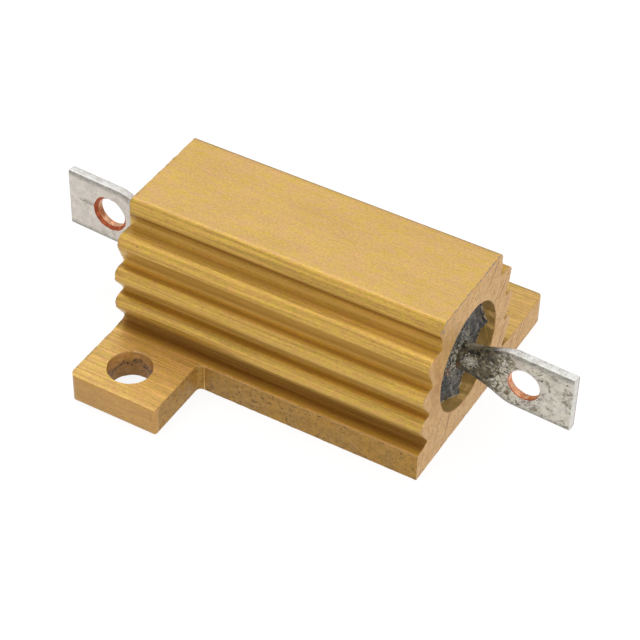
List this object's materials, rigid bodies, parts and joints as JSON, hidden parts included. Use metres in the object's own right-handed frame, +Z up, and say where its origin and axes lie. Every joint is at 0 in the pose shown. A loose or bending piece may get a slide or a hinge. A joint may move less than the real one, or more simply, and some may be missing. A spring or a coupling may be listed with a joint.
{
  "type": "aluminium housed power resistor",
  "caption": "Wirewound power resistor in a finned, gold-anodised aluminium extrusion with diagonal screw tabs and a flat pierced solder lug at each end.",
  "frame": {"origin": "on the mounting face, midway between the two mounting holes", "axes": "+X along the resistor towards the right-hand terminal, +Y across it towards the right-hand mounting tab, +Z up out of the mounting face"},
  "size_m": [0.0449, 0.0274, 0.0133],
  "materials": {
    "anodised_aluminium": "satin gold anodise over extrusion die lines",
    "moulding_compound": "matt, gritty, filled silicone",
    "ceramic_core": "unglazed",
    "resistance_wire": "drawn alloy wire",
    "cap_steel": "drawn steel",
    "tinned_copper": "dull mottled tin over copper"
  },
  "bodies": {
    "root": {"housing": "anodised_aluminium", "encapsulant": "moulding_compound", "core": "ceramic_core", "winding": "resistance_wire", "end_cap_left": "cap_steel", "end_cap_right": "cap_steel", "terminal_left": "tinned_copper", "terminal_right": "tinned_copper"}
  },
  "joints": []
}
